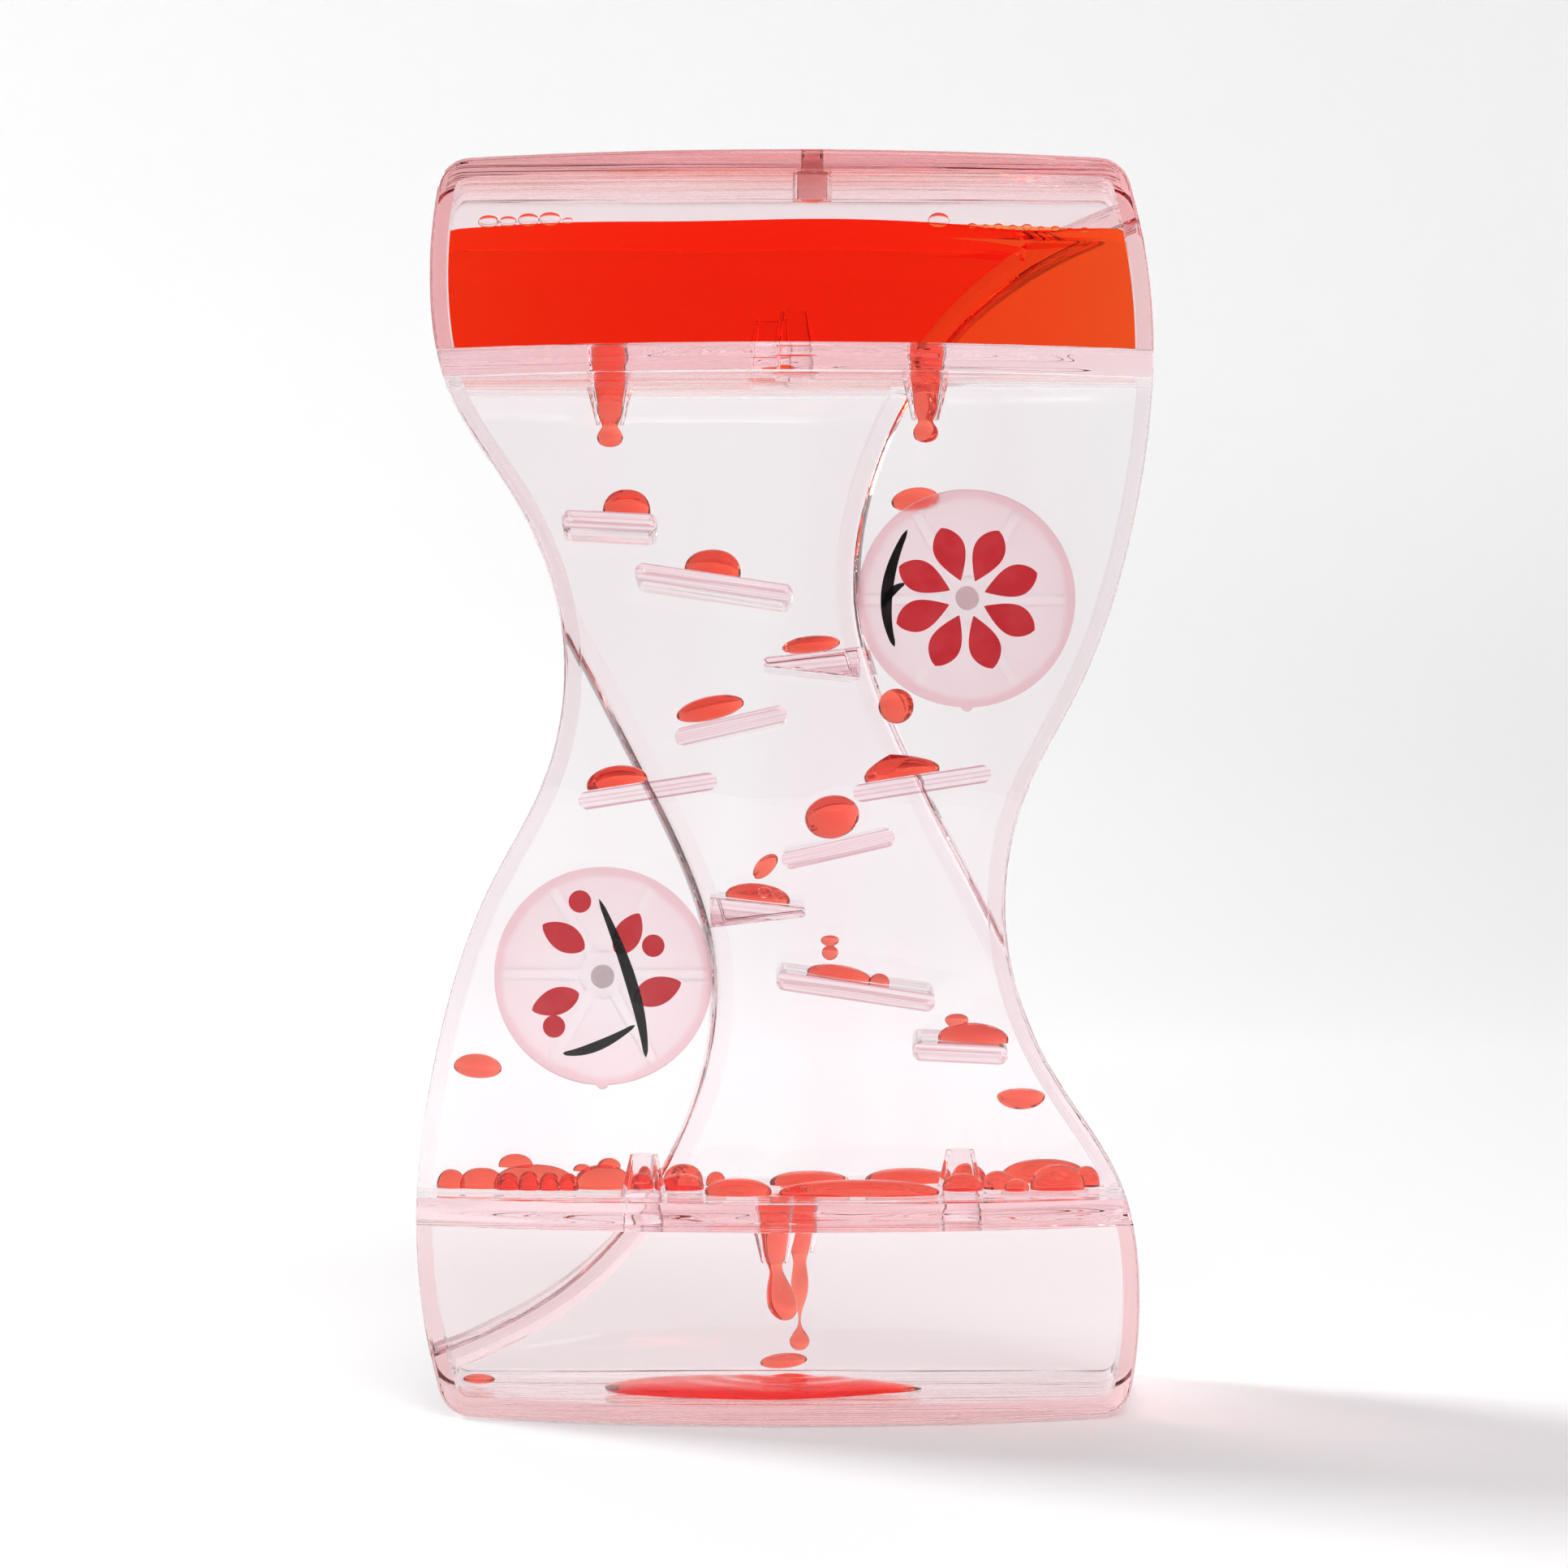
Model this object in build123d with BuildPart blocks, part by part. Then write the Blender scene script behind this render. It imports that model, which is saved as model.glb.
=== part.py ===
from build123d import *
from math import atan2, copysign, cos, degrees, radians, sin, sqrt, tan
import os

os.makedirs("parts", exist_ok=True)

# Liquid motion timer, in millimetres. It stands on Z = 0 and its front faces -Y.
# The body is the same when it is turned half round about the line of sight, so most
# pieces are given once, for the upper right or upper left, and turned to make the other.

# Body. Its welded seams are as thick as the bond line.
height = 140.0
depth = 34.0
wall = 2.0
front_radius = 140.0
back_radius = 300.0
wing_depth = 21.6
corner_radius = 3.7
inner_corner_radius = 0.5
rim_radius = 0.6
end_height = 21.2
plate_thickness = 3.0
cover_depth = 8.0
bond_line = 0.04

# Right-hand outline from the base up, as (half width, percent of the height)
right_side = [(38.0, 0.0), (39.6, 10.0), (37.4, 18.6), (30.4, 26.7), (25.6, 34.3), (24.4, 41.6),
              (26.6, 49.3), (32.4, 57.3), (38.8, 70.7), (41.2, 84.3), (37.6, 100.0)]

# Fold where the deep channel ends and the shallow right wing begins, given the same way
fold_side = [(33.0, 24.3), (24.0, 37.1), (15.5, 49.3), (7.9, 64.3), (14.4, 83.1), (26.8, 92.6),
             (38.4, 96.7), (48.0, 99.7)]

# Filling hole and plug
plug_radius = 1.25
plug_length = 5.0
plug_x = 3.0
plug_inset = 5.6
plug_boss_wall = 0.9

# Drip nozzles of the upper plate, as (x, distance behind the front)
down_nozzles = [(-19.3, 17.0), (15.5, 11.0)]
up_nozzles = [(1.1, 12.0), (-1.65, 22.0)]
nozzle_length = 4.6
nozzle_base_radius = 2.6
nozzle_tip_radius = 1.5
nozzle_wall = 0.35

# Ramps of the upper half, as (x, rise above mid height in percent of the height, length, slope in degrees)
bar_ramps = [(-19.3, 21.1, 10.6, -3.0), (-7.8, 16.2, 17.6, -8.6), (-5.9, 4.9, 12.6, 13.0),
             (-15.1, -0.3, 15.4, 9.0)]
ramp_thickness = 2.0
ramp_setback = 5.0
ledge_tip_x = -2.3
ledge_rise_share = 9.9
ledge_tip_thickness = 1.0
ledge_root_thickness = 3.4

# Paddle wheels
wheel_x = 20.05
wheel_rise_share = 15.0
wheel_clearance = 1.6
disc_clearance = 0.5
disc_thickness = 1.6
vane_count = 6
vane_thickness = 1.2
vane_inset = 0.9
hub_radius = 2.6
gate_radius = 0.7
gate_stand = 0.45
pin_radius = 0.8
pin_head_radius = 1.3
pin_head_length = 0.7
pin_seat = 3.0
boss_radius = 2.6
boss_height = 3.2
running_clearance = 0.05
end_play = 0.3

# Red liquid
liquid_gap = 0.15
pool_drop = 7.3
layer_depth = 3.0
puddle_x = -3.0
puddle_half_width = 17.6
puddle_half_depth = 9.0
puddle_depth = 1.3
puddle_edge_radius = 1.0
hanging_radius = 1.45

# Drops on the ramps, as (x, radius, height), from the highest ramp down
ramp_drops = [(-17.4, 2.6, 2.7), (-8.0, 3.1, 2.7), (2.8, 2.8, 2.0), (-7.8, 3.8, 2.6), (-18.3, 3.3, 2.2),
              (13.0, 4.2, 2.6), (5.2, 2.9, 4.6), (-2.9, 3.5, 1.8), (6.0, 3.6, 1.5), (20.6, 3.8, 2.1)]
drop_setback = 11.0

# Falling drops, as (x, rise above mid height in percent, distance behind the front, radius, height)
falling_drops = [(-2.0, -6.6, 11.0, 1.3, 2.8), (26.0, -24.9, 11.0, 2.6, 2.4)]

# Drops that slide down the back of a wing: one at the far left, one behind the right wheel and
# one that has just left that wheel's rim
left_slide_x = -33.3
left_slide_share = -23.1
left_slide_radius = 2.6
left_slide_height = 2.8
behind_wheel = (-5.85, 11.25)
behind_wheel_height = 2.6
under_wheel_angle = -122.0
under_wheel_radius = 1.9
under_wheel_height = 3.6

# Drop that has just come to rest on the puddle
puddle_drop_x = 0.3
puddle_drop_radius = 1.2
puddle_drop_height = 1.5

middle = height / 2
front = -depth / 2
back = depth / 2
upper_seam = height - end_height
plate_under = upper_seam - plate_thickness
lower_seam = end_height
plate_over = lower_seam + plate_thickness
wing_back = front + wing_depth
right_line = [(x, height * share / 100) for x, share in right_side]
fold_line = [(x, height * share / 100) for x, share in fold_side]


def turned(points):
    """Points of the front view, turned half round about the middle of the body."""
    return [(-x, height - z) for x, z in points]


def shifted(points, inset):
    """Points of the spline through the given ones, moved inset to its left."""
    curve = Spline(*points)
    moved = []
    for point in points:
        run = curve.tangent_at(curve.param_at_point(point))
        moved.append((point[0] - inset * run.Y, point[1] + inset * run.X))
    return moved


def body_form(inset):
    """The whole body as one solid, drawn in by inset on every side."""
    side = shifted(right_line, inset)
    fold = shifted(fold_line, inset)
    back_plane = Plane.XZ.offset(-back)
    far = 2 * height
    with BuildPart() as form:
        with BuildSketch(back_plane) as outline:
            with BuildLine():
                right = Spline(*side)
                left = Spline(*turned(side))
                Line(right @ 1, left @ 0)
                Line(left @ 1, right @ 0)
            make_face()
            with Locations((0, middle)):
                Rectangle(far, height - 2 * inset, mode=Mode.INTERSECT)
            fillet(outline.vertices(), max(corner_radius - inset, inner_corner_radius))
        extrude(amount=depth)
        with Locations((0, front + front_radius, middle)):
            Cylinder(front_radius - inset, far, mode=Mode.INTERSECT)
        with Locations((0, back - back_radius, middle)):
            Cylinder(back_radius - inset, far, mode=Mode.INTERSECT)
        with BuildSketch(back_plane):
            for line, edge_x in ((fold, far), (turned(fold), -far)):
                with BuildLine():
                    fold_edge = Spline(*line)
                    Polyline(
                        fold_edge @ 1,
                        (edge_x, (fold_edge @ 1).Y),
                        (edge_x, (fold_edge @ 0).Y),
                        fold_edge @ 0,
                    )
                make_face()
        extrude(amount=back - wing_back + inset, mode=Mode.SUBTRACT)
    return form.part


def save(part, name):
    """Label a finished piece and write it."""
    part.label = name
    export_step(part, f"parts/{name}.step")


outer = body_form(0)
outer = fillet(outer.edges(), rim_radius)
cavity = body_form(wall)
liquid_form = body_form(wall + liquid_gap)
shell = outer - cavity

# Top chamber: a cap open below, with a boss inside its ceiling round the filling hole
plug_y = front + plug_inset
with BuildPart() as top_chamber:
    add(shell)
    split(bisect_by=Plane.XY.offset(upper_seam + bond_line), keep=Keep.TOP)
    with BuildSketch(Plane.XY.offset(height - plug_length)):
        with Locations((plug_x, plug_y)):
            Circle(plug_radius + plug_boss_wall)
    extrude(amount=plug_length - wall)
    with BuildSketch(Plane.XY.offset(height)):
        with Locations((plug_x, plug_y)):
            Circle(plug_radius)
    extrude(amount=-plug_length, mode=Mode.SUBTRACT)
save(top_chamber.part, "top_chamber")

# Filling plug, flush with the top
with BuildPart() as fill_plug:
    with BuildSketch(Plane.XY.offset(height)):
        with Locations((plug_x, plug_y)):
            Circle(plug_radius - bond_line)
    extrude(amount=-plug_length)
save(fill_plug.part, "fill_plug")

# Bottom chamber: the same cap turned over, without the hole
with BuildPart() as bottom_chamber:
    add(shell)
    split(bisect_by=Plane.XY.offset(lower_seam - bond_line), keep=Keep.BOTTOM)
save(bottom_chamber.part, "bottom_chamber")


def stands_on(places, face_z, way):
    """Planes at the given places of a plate's face, pointing up (way 1) or down (way -1)."""
    return [Plane(origin=(x, front + setback, face_z), z_dir=(0, 0, way)) for x, setback in places]


def nozzles(bases, clearance=0.0, mode=Mode.ADD):
    """Tapered tubes, each standing on its base, as solids that are thicker by clearance."""
    with Locations(*bases):
        Cone(
            nozzle_base_radius + clearance,
            nozzle_tip_radius + clearance,
            nozzle_length + clearance,
            align=(Align.CENTER, Align.CENTER, Align.MIN),
            mode=mode,
        )


def bores(inlets, clearance=0.0, mode=Mode.SUBTRACT):
    """Tapered bores from a plate's far face to its nozzles' tips, narrower by clearance."""
    with Locations(*inlets):
        Cone(
            nozzle_base_radius - nozzle_wall - clearance,
            nozzle_tip_radius - nozzle_wall - clearance,
            plate_thickness + nozzle_length,
            align=(Align.CENTER, Align.CENTER, Align.MIN),
            mode=mode,
        )


# Upper plate, with two drip nozzles below and, for when the timer is turned over, two above
with BuildPart() as upper_plate:
    add(outer)
    split(bisect_by=Plane.XY.offset(upper_seam), keep=Keep.BOTTOM)
    split(bisect_by=Plane.XY.offset(plate_under), keep=Keep.TOP)
    nozzles(stands_on(down_nozzles, plate_under, -1))
    nozzles(stands_on(up_nozzles, upper_seam, 1))
    bores(stands_on(down_nozzles, upper_seam, -1))
    bores(stands_on(up_nozzles, plate_under, 1))
save(upper_plate.part, "upper_plate")

# Lower plate: the same moulding turned half round
lower_down_nozzles = [(-x, setback) for x, setback in up_nozzles]
lower_up_nozzles = [(-x, setback) for x, setback in down_nozzles]
with BuildPart() as lower_plate:
    add(outer)
    split(bisect_by=Plane.XY.offset(plate_over), keep=Keep.BOTTOM)
    split(bisect_by=Plane.XY.offset(lower_seam), keep=Keep.TOP)
    nozzles(stands_on(lower_down_nozzles, lower_seam, -1))
    nozzles(stands_on(lower_up_nozzles, plate_over, 1))
    bores(stands_on(lower_down_nozzles, plate_over, -1))
    bores(stands_on(lower_up_nozzles, lower_seam, 1))
save(lower_plate.part, "lower_plate")

# Middle chamber: convex front cover
cover_plane = Plane.XZ.offset(-(front + cover_depth))
with BuildPart() as middle_front:
    add(shell)
    split(bisect_by=Plane.XY.offset(plate_under - bond_line), keep=Keep.BOTTOM)
    split(bisect_by=Plane.XY.offset(plate_over + bond_line), keep=Keep.TOP)
    split(bisect_by=cover_plane, keep=Keep.TOP)
save(middle_front.part, "middle_front")

# Wheels: each as large as the wing leaves room for, just behind the curved front cover
inner_side = Spline(*shifted(right_line, wall))
wheel_rise = height * wheel_rise_share / 100
wheels = {"right": (wheel_x, middle + wheel_rise), "left": (-wheel_x, middle - wheel_rise)}
wheel_radius = inner_side.distance_to(Vertex(*wheels["right"])) - wheel_clearance
cover_centre = front + front_radius
cover_inside = cover_centre - sqrt((front_radius - wall) ** 2 - (wheel_x + wheel_radius) ** 2)
disc_front = cover_inside + disc_clearance
disc_back = disc_front + disc_thickness
wing_inside = wing_back - wall
boss_front = wing_inside - boss_height
hub_back = boss_front - end_play
vane_back = hub_back - vane_inset

# Middle chamber: back shell, with a boss for each wheel's pin
with BuildPart() as middle_back:
    add(shell)
    split(bisect_by=Plane.XY.offset(plate_under - bond_line), keep=Keep.BOTTOM)
    split(bisect_by=Plane.XY.offset(plate_over + bond_line), keep=Keep.TOP)
    split(bisect_by=cover_plane.offset(-bond_line), keep=Keep.BOTTOM)
    with BuildSketch(Plane.XZ.offset(-wing_inside)):
        with Locations(*wheels.values()):
            Circle(boss_radius)
    extrude(amount=boss_height)
    with BuildSketch(Plane.XZ.offset(-boss_front)):
        with Locations(*wheels.values()):
            Circle(pin_radius + bond_line)
    extrude(amount=-pin_seat, mode=Mode.SUBTRACT)
save(middle_back.part, "middle_back")

# Paddle wheels on their headed pins
for hand, (x, z) in wheels.items():
    face = Plane(origin=(x, disc_front, z), x_dir=(1, 0, 0), z_dir=(0, -1, 0))
    rear = face.offset(-disc_thickness)
    with BuildPart() as wheel:
        with BuildSketch(rear):
            Circle(wheel_radius)
            with Locations((0, gate_radius - gate_stand - wheel_radius)):
                Circle(gate_radius)
        extrude(amount=disc_thickness)
        with BuildSketch(rear):
            with PolarLocations(0, vane_count):
                with Locations((wheel_radius / 2, 0)):
                    Rectangle(wheel_radius - 2 * vane_inset, vane_thickness)
        extrude(amount=disc_back - vane_back)
        with BuildSketch(rear):
            Circle(hub_radius)
        extrude(amount=disc_back - hub_back)
        with BuildSketch(face):
            Circle(pin_radius + running_clearance)
        extrude(amount=disc_front - hub_back, mode=Mode.SUBTRACT)
    save(wheel.part, f"wheel_{hand}")
    with BuildPart() as wheel_pin:
        with BuildSketch(face.offset(end_play)):
            Circle(pin_head_radius)
        extrude(amount=pin_head_length)
        with BuildSketch(face.offset(end_play)):
            Circle(pin_radius)
        extrude(amount=disc_front - end_play - boss_front - pin_seat)
    save(wheel_pin.part, f"wheel_pin_{hand}")

# Ramps, from the highest down, as (shape, x, z, length, slope). The lower five are the upper five
# turned. A ledge is a wedge that grows from the channel's side wall, given at its tip.
bars = [("bar", x, middle + height * rise / 100, length, slope) for x, rise, length, slope in bar_ramps]
ledge_z = middle + height * ledge_rise_share / 100
wall_x = Spline(*fold_line).find_intersection_points(Axis((0, ledge_z, 0), (1, 0, 0)))[0].X - wall / 2
ledge_length = wall_x - ledge_tip_x
ledge_slope = degrees(atan2(ledge_root_thickness - ledge_tip_thickness, 2 * ledge_length))
ledge = ("ledge", ledge_tip_x, ledge_z, ledge_length, ledge_slope)
upper_ramps = [bars[0], bars[1], ledge, bars[2], bars[3]]
lower_ramps = [
    (shape, -x, height - z, length, slope if shape == "bar" else -slope)
    for shape, x, z, length, slope in reversed(upper_ramps)
]
ramps = upper_ramps + lower_ramps

# Each ramp is bonded to the back shell and ends a little behind the front cover
ramp_front = front + ramp_setback
ramp_space = body_form(wall + bond_line)
for number, (shape, x, z, length, slope) in enumerate(ramps, 1):
    with BuildPart() as ramp:
        with BuildSketch(Plane.XZ.offset(-ramp_front)):
            if shape == "bar":
                with Locations(Location((x, z), slope)):
                    SlotOverall(length, ramp_thickness)
            else:
                root_x = x + copysign(length, slope)
                with BuildLine():
                    Polyline(
                        (x, z - ledge_tip_thickness / 2),
                        (x, z + ledge_tip_thickness / 2),
                        (root_x, z + ledge_root_thickness / 2),
                        (root_x, z - ledge_root_thickness / 2),
                        close=True,
                    )
                make_face()
        extrude(amount=-depth)
        add(ramp_space, mode=Mode.INTERSECT)
    save(ramp.part, f"ramp_{number}")


def resting_drop(centre, radius, rise, slope):
    """A drop on a ramp: the cap of a ball, square to the ramp."""
    lean = radians(slope)
    face = Plane(origin=centre, x_dir=(cos(lean), 0, sin(lean)), z_dir=(0, -1, 0))
    with BuildPart() as drop:
        with BuildSketch(face):
            with BuildLine():
                cap = TangentArc((0, rise), (radius, 0), tangent=(1, 0))
                Polyline(cap @ 1, (0, 0), cap @ 0)
            make_face()
        revolve(axis=Axis(face.origin, face.y_dir))
    return drop.part


def free_drop(centre, radius, drop_height):
    """A drop in the clear liquid: two caps of balls that meet at its rim."""
    face = Plane(origin=centre, x_dir=(1, 0, 0), z_dir=(0, -1, 0))
    with BuildPart() as drop:
        with BuildSketch(face):
            with BuildLine():
                over = TangentArc((0, drop_height / 2), (radius, 0), tangent=(1, 0))
                under = TangentArc((0, -drop_height / 2), (radius, 0), tangent=(1, 0))
                Line(over @ 0, under @ 0)
            make_face()
        revolve(axis=Axis(face.origin, face.y_dir))
    return drop.part


# Red liquid in the top chamber, round the nozzles that stand in it
with BuildPart() as red_pool:
    add(liquid_form)
    split(bisect_by=Plane.XY.offset(height - pool_drop), keep=Keep.BOTTOM)
    split(bisect_by=Plane.XY.offset(upper_seam + liquid_gap), keep=Keep.TOP)
    nozzles(stands_on(up_nozzles, upper_seam, 1), liquid_gap, Mode.SUBTRACT)
save(red_pool.part, "red_pool")

# Red liquid that lies on the lower plate
with BuildPart() as red_layer:
    add(liquid_form)
    split(bisect_by=Plane.XY.offset(plate_over + layer_depth), keep=Keep.BOTTOM)
    split(bisect_by=Plane.XY.offset(plate_over + liquid_gap), keep=Keep.TOP)
    nozzles(stands_on(lower_up_nozzles, plate_over, 1), liquid_gap, Mode.SUBTRACT)
save(red_layer.part, "red_layer")

# Red puddle on the floor of the bottom chamber
with BuildPart() as red_puddle:
    with BuildSketch(Plane.XY.offset(wall + liquid_gap)):
        with Locations((puddle_x, 0)):
            Ellipse(puddle_half_width, puddle_half_depth)
    extrude(amount=puddle_depth)
    fillet(red_puddle.edges().group_by(Axis.Z)[-1], puddle_edge_radius)
save(red_puddle.part, "red_puddle")

# Red liquid inside the nozzles, each with the drop that hangs from the tip
tip_bore = nozzle_tip_radius - nozzle_wall - liquid_gap
hanging_drop = sqrt(hanging_radius**2 - tip_bore**2)
drips = {
    "left": (down_nozzles[0], upper_seam),
    "right": (down_nozzles[1], upper_seam),
    "front": (lower_down_nozzles[0], plate_over),
    "back": (lower_down_nozzles[1], plate_over),
}
for name, ((x, setback), inlet_z) in drips.items():
    tip_z = inlet_z - plate_thickness - nozzle_length
    with BuildPart() as drip:
        bores(stands_on([(x, setback)], inlet_z, -1), liquid_gap, Mode.ADD)
        with Locations((x, front + setback, tip_z - hanging_drop)):
            Sphere(hanging_radius)
    save(drip.part, f"drip_{name}")

# Drops that run down the ramps, each a dome on its ramp's top
for number, (x, radius, rise) in enumerate(ramp_drops, 1):
    shape, ramp_x, ramp_z, length, slope = ramps[number - 1]
    thickness = ramp_thickness if shape == "bar" else ledge_tip_thickness
    lean = radians(slope)
    top_z = ramp_z + (x - ramp_x) * tan(lean) + thickness / 2 / cos(lean)
    with BuildPart() as ramp_drop:
        add(resting_drop((x, front + drop_setback, top_z + liquid_gap), radius, rise, slope))
    save(ramp_drop.part, f"ramp_drop_{number}")

# Drops that fall, slide down a wing's back or rest on the puddle
right_x, right_z = wheels["right"]
slide_room = (wing_inside - vane_back) / 2
wall_face = wing_inside - liquid_gap
under_reach = wheel_radius + gate_stand + end_play + under_wheel_radius
under_lean = radians(under_wheel_angle)
under_x = right_x + under_reach * cos(under_lean)
under_z = right_z + under_reach * sin(under_lean)
puddle_top = wall + liquid_gap + puddle_depth
with BuildPart() as loose_drops:
    for x, rise, setback, radius, drop_height in falling_drops:
        add(free_drop((x, front + setback, middle + height * rise / 100), radius, drop_height))
    left_place = (left_slide_x, wall_face - left_slide_radius, middle + height * left_slide_share / 100)
    add(free_drop(left_place, left_slide_radius, left_slide_height))
    behind_place = (right_x + behind_wheel[0], vane_back + slide_room, right_z + behind_wheel[1])
    add(free_drop(behind_place, slide_room - end_play, behind_wheel_height))
    under_place = (under_x, wall_face - under_wheel_radius, under_z)
    add(free_drop(under_place, under_wheel_radius, under_wheel_height))
    puddle_place = (puddle_drop_x, 0, puddle_top + liquid_gap)
    add(resting_drop(puddle_place, puddle_drop_radius, puddle_drop_height, 0))
save(loose_drops.part, "loose_drops")
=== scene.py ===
import math

import bmesh
import bpy
import numpy as np
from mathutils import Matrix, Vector


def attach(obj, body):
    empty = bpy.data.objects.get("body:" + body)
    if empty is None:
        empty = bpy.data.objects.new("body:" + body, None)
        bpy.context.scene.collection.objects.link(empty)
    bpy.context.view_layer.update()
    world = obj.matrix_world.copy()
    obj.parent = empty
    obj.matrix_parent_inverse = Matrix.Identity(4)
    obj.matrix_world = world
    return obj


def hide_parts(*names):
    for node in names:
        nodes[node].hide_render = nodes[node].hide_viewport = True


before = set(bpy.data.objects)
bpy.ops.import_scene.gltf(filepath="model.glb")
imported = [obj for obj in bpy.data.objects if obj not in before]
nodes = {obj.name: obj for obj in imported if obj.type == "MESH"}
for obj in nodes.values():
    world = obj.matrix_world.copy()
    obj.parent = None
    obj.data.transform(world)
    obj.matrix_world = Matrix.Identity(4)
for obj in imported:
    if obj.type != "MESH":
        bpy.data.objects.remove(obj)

scene = bpy.context.scene
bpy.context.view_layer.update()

# Middle chamber: a bowed front cover welded to a back shell, in which a deep channel winds in an S between
# two shallow wings. Both are injection-moulded clear styrene with a faint pink cast, polished, slightly wavy
# from the mould, and deeper in colour where they are seen edge on.
cover_tint = (0.998, 0.992, 0.994)
cover_cloud = (0.99, 0.958, 0.965)
cover_dye = (0.86, 0.5, 0.55)
hull_shade = (0.44, 0.43, 0.44)
styrene_index = 1.5
wet_index = 1.1
half_height = 0.07
margin = 0.0005
level_from = 0.8
end_flow = 0.45
flow_grain = (14, 700, 700)
cloud_low = 0.4
cloud_high = 0.68


def wire(tree, node, inputs):
    """Fill a node's inputs, by name or place: a number or tuple is set on the socket, and the output of
    another node is linked to it."""
    for socket, value in inputs.items():
        if isinstance(value, (int, float, tuple)):
            node.inputs[socket].default_value = value
        else:
            tree.links.new(value, node.inputs[socket])


def add(tree, kind, inputs, **settings):
    """Add a shader node of a kind, with its settings and its inputs."""
    node = tree.nodes.new("ShaderNode" + kind)
    for name, value in settings.items():
        setattr(node, name, value)
    wire(tree, node, inputs)
    return node


def sums(tree, operation, *values):
    """The result of a Math node on up to three numbers or outputs."""
    return add(tree, "Math", dict(enumerate(values)), operation=operation).outputs["Value"]


def colour_ramp(tree, value, stops):
    """The colour at a value between stops, each a position and a colour, given from low to high."""
    shades = add(tree, "ValToRGB", {"Fac": value})
    elements = shades.color_ramp.elements
    for element, (position, colour) in zip(elements, (stops[0], stops[-1])):
        element.position = position
        element.color = (*colour, 1)
    for position, colour in stops[1:-1]:
        elements.new(position).color = (*colour, 1)
    return shades.outputs["Color"]


def new_material(name):
    """A new material, its node tree and its Principled surface."""
    material = bpy.data.materials.new(name)
    material.use_nodes = True
    return material, material.node_tree, material.node_tree.nodes["Principled BSDF"]


def moulding_ripple():
    """A node group for moulded plastic. Noise on Object coordinates, stretched by Grain (swells per metre
    along each axis) and Depth metres high, leans the Normal, and its value is the Swell. Level faces inside
    the body add flow lines across the piece, Flat metres deep. Its two ends are polished and show less."""
    group = bpy.data.node_groups.new("moulding_ripple", "ShaderNodeTree")
    for name, way, kind in (("Grain", "INPUT", "Vector"), ("Depth", "INPUT", "Float"),
                            ("Flat", "INPUT", "Float"), ("Normal", "OUTPUT", "Vector"),
                            ("Swell", "OUTPUT", "Float")):
        group.interface.new_socket(name, in_out=way, socket_type="NodeSocket" + kind)
    inlet = group.nodes.new("NodeGroupInput")
    outlet = group.nodes.new("NodeGroupOutput")
    place = add(group, "TexCoord", {})

    def relief(grain, depth):
        """Noise stretched by grain, and a bump of that depth from it."""
        stretch = add(group, "VectorMath", {0: place.outputs["Object"], 1: grain}, operation="MULTIPLY")
        noise = add(group, "TexNoise", {"Vector": stretch.outputs["Vector"], "Scale": 1, "Detail": 1})
        return noise, add(group, "Bump", {"Height": noise.outputs["Fac"], "Distance": depth})

    noise, swells = relief(inlet.outputs["Grain"], inlet.outputs["Depth"])
    facing = add(group, "SeparateXYZ", {"Vector": place.outputs["Normal"]})
    spot = add(group, "SeparateXYZ", {"Vector": place.outputs["Object"]})
    level = add(group, "MapRange", {"Value": sums(group, "ABSOLUTE", facing.outputs["Z"]),
                                    "From Min": level_from, "To Max": inlet.outputs["Flat"]})
    within = sums(group, "COMPARE", spot.outputs["Z"], half_height, half_height - margin)
    polish = sums(group, "MULTIPLY_ADD", within, 1 - end_flow, end_flow)
    lines = relief(flow_grain, sums(group, "MULTIPLY", level.outputs["Result"], polish))[1]
    wire(group, lines, {"Normal": swells.outputs["Normal"]})
    wire(group, outlet, {"Normal": lines.outputs["Normal"], "Swell": noise.outputs["Fac"]})
    return group


ripple = moulding_ripple()


def wetted(tree, dry, wet, reach):
    """The refractive index of a hull piece by side: dry against the air, and wet, plastic over liquid, where
    a face looks into the chambers. A face is outside if its normal, turned back where it is met from within,
    leans away from the upright middle line and it lies reach metres from the middle plane, or at an end."""
    place = add(tree, "TexCoord", {})
    met = add(tree, "NewGeometry", {})
    level = add(tree, "VectorMath", {0: place.outputs["Object"], 1: (1, 1, 0)}, operation="MULTIPLY")
    lean = add(tree, "VectorMath", {0: level.outputs["Vector"], 1: place.outputs["Normal"]},
               operation="DOT_PRODUCT")
    spot = add(tree, "SeparateXYZ", {"Vector": place.outputs["Object"]})
    turned = sums(tree, "MULTIPLY_ADD", met.outputs["Backfacing"], -2, 1)
    side = sums(tree, "GREATER_THAN", sums(tree, "MULTIPLY", lean.outputs["Value"], turned), margin)
    far = sums(tree, "GREATER_THAN", sums(tree, "ABSOLUTE", spot.outputs["Y"]), reach)
    height = sums(tree, "ABSOLUTE", sums(tree, "SUBTRACT", spot.outputs["Z"], half_height))
    end = sums(tree, "GREATER_THAN", height, half_height - margin)
    outside = sums(tree, "MAXIMUM", sums(tree, "MULTIPLY", side, far), end)
    return sums(tree, "MULTIPLY_ADD", outside, dry - wet, wet)


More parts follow.
